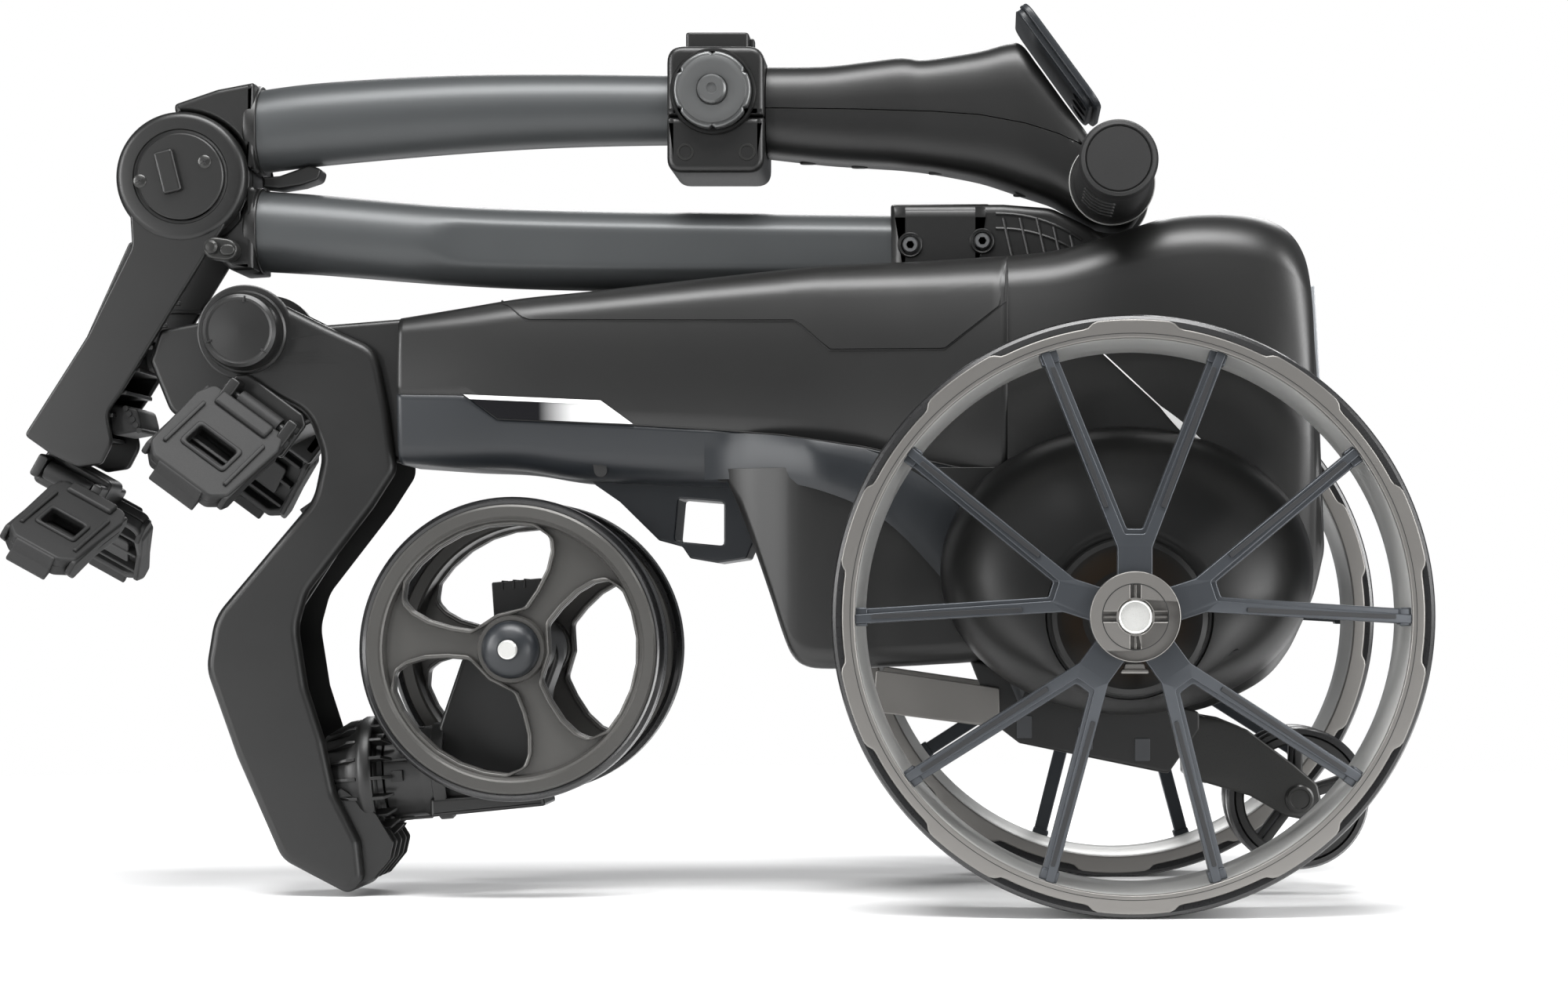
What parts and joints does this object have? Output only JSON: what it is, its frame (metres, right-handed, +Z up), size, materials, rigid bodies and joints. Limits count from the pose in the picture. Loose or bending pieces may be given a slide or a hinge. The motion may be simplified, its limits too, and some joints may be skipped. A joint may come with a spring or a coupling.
{
  "type": "electric golf trolley",
  "caption": "Folding electric golf trolley, folded for storage, with large rear drive wheels turned inwards, a twin front caster and hinged bag cradles.",
  "frame": {"origin": "middle of the folded trolley's footprint on the floor, at the bottom of its box", "axes": "+Z up, -X towards the folded front leg and bag cradles, +X towards the rear wheels, -Y towards the trolley's left side"},
  "size_m": [0.7441, 0.364, 0.4785],
  "materials": {
    "graphite_tube": "satin graphite paint",
    "black_plastic": "fine moulded black plastic",
    "shell_black": "satin black moulded shell",
    "shell_blue": "satin blue-grey moulded shell",
    "wheel_grey": "warm grey moulded wheel",
    "tyre_black": "smooth black tyre",
    "black_metal": "black powder coat",
    "bright_steel": "bright steel",
    "graphite_knob": "metallic graphite plastic",
    "grip_rubber": "soft grip",
    "glass_dark": "dark display window",
    "light_lens": "pale lens",
    "board_green": "circuit board",
    "battery_grey": "battery casing",
    "motor_steel": "motor can",
    "bronze": "bearing bush"
  },
  "bodies": {
    "chassis": {"lower_shell": "shell_blue", "upper_shell": "shell_black", "electronics_covers": "shell_black", "rear_housing": "shell_black", "battery_housing": "shell_blue", "battery_pack": "battery_grey", "controller_board": "board_green", "motor_pods": "shell_black", "motors": "motor_steel", "axle_bearings": "bronze", "nose_bracket": "black_plastic", "pivot_pins": "bright_steel", "rear_bracket": "black_plastic", "antitip_frame": "black_metal", "rear_light": "light_lens"},
    "rear_wheel_left": {"rear_wheel_left": "wheel_grey", "rear_tyre_left": "tyre_black", "drive_axle_left": "bright_steel"},
    "rear_wheel_right": {"rear_wheel_right": "wheel_grey", "rear_tyre_right": "tyre_black", "drive_axle_right": "bright_steel"},
    "release_left": {"release_tab_left": "wheel_grey"},
    "release_right": {"release_tab_right": "wheel_grey"},
    "antitip_wheels": {"antitip_wheels": "black_plastic", "antitip_tyres": "tyre_black"},
    "front_leg": {"leg_shell": "shell_black", "leg_caps": "shell_black", "caster_housing": "black_plastic", "caster_bush": "bronze", "lower_cradle_hinges": "black_metal"},
    "lower_cradle_left": {"lower_cradle_left": "black_plastic"},
    "lower_cradle_right": {"lower_cradle_right": "black_plastic"},
    "caster": {"caster_fork": "black_plastic", "caster_shafts": "bright_steel"},
    "front_wheel_left": {"front_wheel_left": "wheel_grey", "front_tyre_left": "tyre_black"},
    "front_wheel_right": {"front_wheel_right": "wheel_grey", "front_tyre_right": "tyre_black"},
    "lower_stem": {"lower_tube": "graphite_tube", "stem_casting": "black_plastic", "stem_fasteners": "bright_steel", "lower_knuckle": "black_plastic", "bag_arm": "black_plastic", "hinge_caps": "shell_black", "upper_cradle_mount": "black_plastic"},
    "upper_cradle_left": {"upper_cradle_left": "black_plastic"},
    "upper_cradle_right": {"upper_cradle_right": "black_plastic"},
    "upper_stem": {"upper_tube": "graphite_tube", "upper_casting": "black_plastic", "accessory_collar": "black_plastic", "handle_upper": "black_plastic", "handle_lower": "black_plastic", "console_bezel": "black_plastic", "display_glass": "glass_dark", "grips": "grip_rubber"},
    "latch_lever": {"latch_lever": "black_plastic"},
    "collar_knob": {"collar_knob": "graphite_knob"},
    "button_slower": {"button_slower": "graphite_knob"},
    "button_power": {"button_power": "graphite_knob"},
    "button_faster": {"button_faster": "graphite_knob"}
  },
  "joints": [
    {"name": "stem_fold", "type": "hinge", "parent": "chassis", "child": "lower_stem", "pos_m": [0.203, 0, 0.335], "axis": [0, 1, 0], "range_deg": [0, 125]},
    {"name": "handle_fold", "type": "hinge", "parent": "lower_stem", "child": "upper_stem", "pos_m": [-0.282, 0, 0.3853], "axis": [0, 1, 0], "range_deg": [-180, 0]},
    {"name": "leg_fold", "type": "hinge", "parent": "chassis", "child": "front_leg", "pos_m": [-0.247, 0, 0.3016], "axis": [0, 1, 0], "range_deg": [0, 104]},
    {"name": "caster_swivel", "type": "hinge", "parent": "front_leg", "child": "caster", "pos_m": [-0.1574, 0, 0.0652], "axis": [0.9969, 0, 0.0785], "continuous": true},
    {"name": "front_wheel_left_spin", "type": "hinge", "parent": "caster", "child": "front_wheel_left", "pos_m": [-0.101, -0.048, 0.1327], "axis": [0, 1, 0], "continuous": true},
    {"name": "front_wheel_right_spin", "type": "hinge", "parent": "caster", "child": "front_wheel_right", "pos_m": [-0.101, 0.048, 0.1327], "axis": [0, 1, 0], "continuous": true},
    {"name": "rear_wheel_left_spin", "type": "hinge", "parent": "chassis", "child": "rear_wheel_left", "pos_m": [0.222, -0.13, 0.15], "axis": [0, 1, 0], "continuous": true},
    {"name": "rear_wheel_right_spin", "type": "hinge", "parent": "chassis", "child": "rear_wheel_right", "pos_m": [0.222, 0.13, 0.15], "axis": [0, 1, 0], "continuous": true},
    {"name": "release_left_pull", "type": "slide", "parent": "rear_wheel_left", "child": "release_left", "axis": [0, 0, -1], "range_m": [0, 0.0025], "stiffness_N_per_m": 800},
    {"name": "release_right_pull", "type": "slide", "parent": "rear_wheel_right", "child": "release_right", "axis": [0, 0, -1], "range_m": [0, 0.0025], "stiffness_N_per_m": 800},
    {"name": "antitip_spin", "type": "hinge", "parent": "chassis", "child": "antitip_wheels", "pos_m": [0.3165, 0, 0.0524], "axis": [0, 1, 0], "continuous": true},
    {"name": "upper_cradle_left_hinge", "type": "hinge", "parent": "lower_stem", "child": "upper_cradle_left", "pos_m": [-0.345, -0.019, 0.223], "axis": [-0.8746, 0, 0.4848], "range_deg": [0, 30]},
    {"name": "upper_cradle_right_hinge", "type": "hinge", "parent": "lower_stem", "child": "upper_cradle_right", "pos_m": [-0.345, 0.019, 0.223], "axis": [0.8746, 0, -0.4848], "range_deg": [0, 30]},
    {"name": "lower_cradle_left_hinge", "type": "hinge", "parent": "front_leg", "child": "lower_cradle_left", "pos_m": [-0.2377, -0.0415, 0.258], "axis": [-0.8039, 0, 0.5948], "range_deg": [0, 45]},
    {"name": "lower_cradle_right_hinge", "type": "hinge", "parent": "front_leg", "child": "lower_cradle_right", "pos_m": [-0.2377, 0.0415, 0.258], "axis": [0.8039, 0, -0.5948], "range_deg": [0, 45]},
    {"name": "latch_lever_pull", "type": "hinge", "parent": "upper_stem", "child": "latch_lever", "pos_m": [-0.238, 0, 0.3875], "axis": [0, 1, 0], "range_deg": [0, 6], "stiffness_Nm_per_rad": 1},
    {"name": "collar_knob_turn", "type": "hinge", "parent": "upper_stem", "child": "collar_knob", "pos_m": [0.0029, -0.035, 0.4307], "axis": [0, 1, 0], "continuous": true},
    {"name": "button_slower_press", "type": "slide", "parent": "upper_stem", "child": "button_slower", "axis": [-0.8089, 0, -0.5879], "range_m": [0, 0.0012], "stiffness_N_per_m": 600},
    {"name": "button_power_press", "type": "slide", "parent": "upper_stem", "child": "button_power", "axis": [-0.8089, 0, -0.5879], "range_m": [0, 0.0012], "stiffness_N_per_m": 600},
    {"name": "button_faster_press", "type": "slide", "parent": "upper_stem", "child": "button_faster", "axis": [-0.8089, 0, -0.5879], "range_m": [0, 0.0012], "stiffness_N_per_m": 600}
  ],
  "couplings": [
    {"joint": "handle_fold", "follows": "stem_fold", "ratio": -1.44},
    {"joint": "leg_fold", "follows": "stem_fold", "ratio": 0.832}
  ]
}
